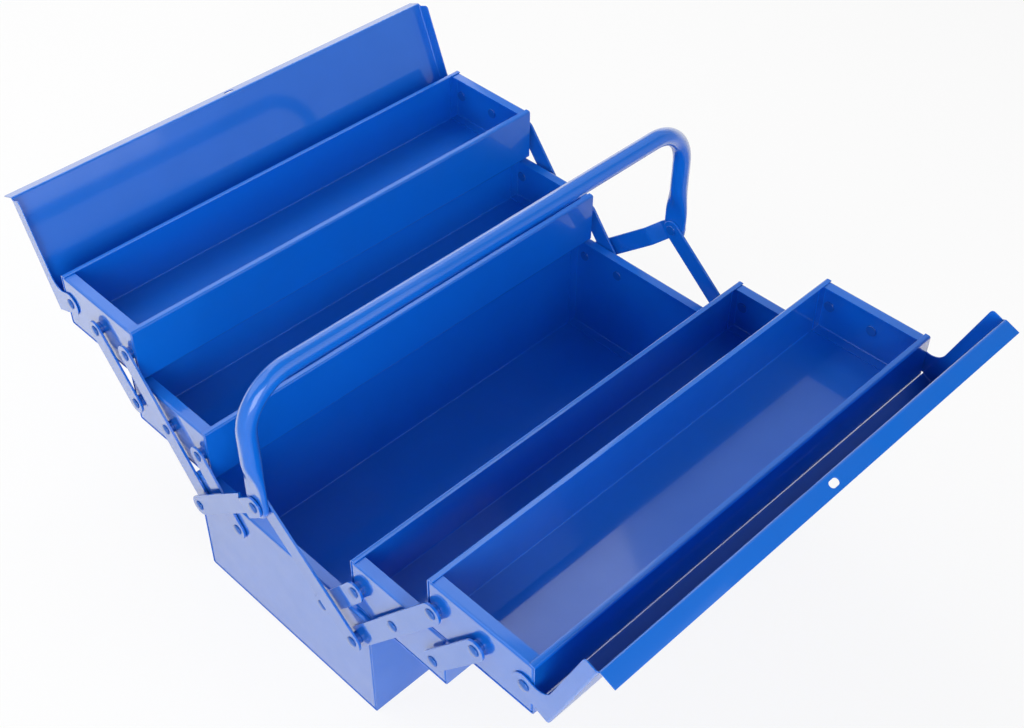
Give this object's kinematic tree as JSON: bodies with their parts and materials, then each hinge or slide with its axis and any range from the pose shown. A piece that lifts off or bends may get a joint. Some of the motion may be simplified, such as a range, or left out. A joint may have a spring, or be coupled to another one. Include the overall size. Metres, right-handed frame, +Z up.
{
  "type": "cantilever tool box",
  "caption": "Folded sheet-steel tool box with swing-out trays on riveted arms, two hinged lids and a tubular carrying handle, shown open.",
  "frame": {"origin": "middle of the underside of the base", "axes": "+X along the box towards its far end, +Y out to the left trays, +Z up; the trays and lids stand open"},
  "size_m": [0.4676, 0.6418, 0.278],
  "materials": {
    "sheet_paint": "glossy blue enamel",
    "arm_paint": "glossy blue enamel, worn at the edges",
    "rivet_paint": "blue enamel, thin on the rivet heads",
    "handle_paint": "high-gloss blue enamel"
  },
  "bodies": {
    "base": {"base_channel": "sheet_paint", "base_end_near": "sheet_paint", "base_end_far": "sheet_paint", "link_left_near": "arm_paint", "link_left_far": "arm_paint", "link_right_near": "arm_paint", "link_right_far": "arm_paint", "link_spacers": "rivet_paint", "link_rivets": "rivet_paint", "base_rivets": "rivet_paint", "handle_rivets": "rivet_paint"},
    "handle": {"handle_tube": "handle_paint"},
    "long_arms_left": {"long_arm_left_near": "arm_paint", "long_arm_left_far": "arm_paint"},
    "lower_arms_left": {"lower_arm_left_near": "arm_paint", "lower_arm_left_far": "arm_paint"},
    "lower_tray_left": {"lower_left_channel": "sheet_paint", "lower_left_end_near": "sheet_paint", "lower_left_end_far": "sheet_paint", "lower_left_rivets": "rivet_paint"},
    "upper_arms_left": {"upper_arm_left_near": "arm_paint", "upper_arm_left_far": "arm_paint"},
    "upper_tray_left": {"upper_left_channel": "sheet_paint", "upper_left_end_near": "sheet_paint", "upper_left_end_far": "sheet_paint", "upper_left_rivets": "rivet_paint", "lid_left_rivets": "rivet_paint"},
    "lid_left": {"lid_left": "sheet_paint"},
    "long_arms_right": {"long_arm_right_near": "arm_paint", "long_arm_right_far": "arm_paint"},
    "lower_arms_right": {"lower_arm_right_near": "arm_paint", "lower_arm_right_far": "arm_paint"},
    "lower_tray_right": {"lower_right_channel": "sheet_paint", "lower_right_end_near": "sheet_paint", "lower_right_end_far": "sheet_paint", "lower_right_rivets": "rivet_paint"},
    "upper_arms_right": {"upper_arm_right_near": "arm_paint", "upper_arm_right_far": "arm_paint"},
    "upper_tray_right": {"upper_right_channel": "sheet_paint", "upper_right_end_near": "sheet_paint", "upper_right_end_far": "sheet_paint", "upper_right_rivets": "rivet_paint", "lid_right_rivets": "rivet_paint"},
    "lid_right": {"lid_right": "sheet_paint"}
  },
  "joints": [
    {"name": "handle_tilt", "type": "hinge", "parent": "base", "child": "handle", "pos_m": [0, 0, 0.161], "axis": [1, 0, 0], "range_deg": [-48, 48]},
    {"name": "trays_left_swing", "type": "hinge", "parent": "base", "child": "long_arms_left", "pos_m": [0, 0.0903, 0.0845], "axis": [1, 0, 0], "range_deg": [0, 76.7]},
    {"name": "lower_arms_left_swing", "type": "hinge", "parent": "base", "child": "lower_arms_left", "pos_m": [0, 0.0503, 0.0845], "axis": [1, 0, 0], "range_deg": [0, 76.7]},
    {"name": "lower_tray_left_level", "type": "hinge", "parent": "long_arms_left", "child": "lower_tray_left", "pos_m": [0, 0.1303, 0.135], "axis": [1, 0, 0], "range_deg": [-76.7, 0]},
    {"name": "upper_arms_left_swing", "type": "hinge", "parent": "lower_tray_left", "child": "upper_arms_left", "pos_m": [0, 0.1703, 0.135], "axis": [1, 0, 0], "range_deg": [0, 76.7]},
    {"name": "upper_tray_left_level", "type": "hinge", "parent": "long_arms_left", "child": "upper_tray_left", "pos_m": [0, 0.1703, 0.1855], "axis": [1, 0, 0], "range_deg": [-76.7, 0]},
    {"name": "lid_left_swing", "type": "hinge", "parent": "upper_tray_left", "child": "lid_left", "pos_m": [0, 0.2503, 0.1855], "axis": [1, 0, 0], "range_deg": [0, 112]},
    {"name": "trays_right_swing", "type": "hinge", "parent": "base", "child": "long_arms_right", "pos_m": [0, -0.0903, 0.0845], "axis": [-1, 0, 0], "range_deg": [0, 76.7]},
    {"name": "lower_arms_right_swing", "type": "hinge", "parent": "base", "child": "lower_arms_right", "pos_m": [0, -0.0503, 0.0845], "axis": [-1, 0, 0], "range_deg": [0, 76.7]},
    {"name": "lower_tray_right_level", "type": "hinge", "parent": "long_arms_right", "child": "lower_tray_right", "pos_m": [0, -0.1303, 0.135], "axis": [-1, 0, 0], "range_deg": [-76.7, 0]},
    {"name": "upper_arms_right_swing", "type": "hinge", "parent": "lower_tray_right", "child": "upper_arms_right", "pos_m": [0, -0.1703, 0.135], "axis": [-1, 0, 0], "range_deg": [0, 76.7]},
    {"name": "upper_tray_right_level", "type": "hinge", "parent": "long_arms_right", "child": "upper_tray_right", "pos_m": [0, -0.1703, 0.1855], "axis": [-1, 0, 0], "range_deg": [-76.7, 0]},
    {"name": "lid_right_swing", "type": "hinge", "parent": "upper_tray_right", "child": "lid_right", "pos_m": [0, -0.2503, 0.1855], "axis": [-1, 0, 0], "range_deg": [0, 112]}
  ],
  "couplings": [
    {"joint": "lower_arms_left_swing", "follows": "trays_left_swing", "ratio": 1},
    {"joint": "lower_tray_left_level", "follows": "trays_left_swing", "ratio": -1},
    {"joint": "upper_arms_left_swing", "follows": "trays_left_swing", "ratio": 1},
    {"joint": "upper_tray_left_level", "follows": "trays_left_swing", "ratio": -1},
    {"joint": "lower_arms_right_swing", "follows": "trays_right_swing", "ratio": 1},
    {"joint": "lower_tray_right_level", "follows": "trays_right_swing", "ratio": -1},
    {"joint": "upper_arms_right_swing", "follows": "trays_right_swing", "ratio": 1},
    {"joint": "upper_tray_right_level", "follows": "trays_right_swing", "ratio": -1}
  ]
}
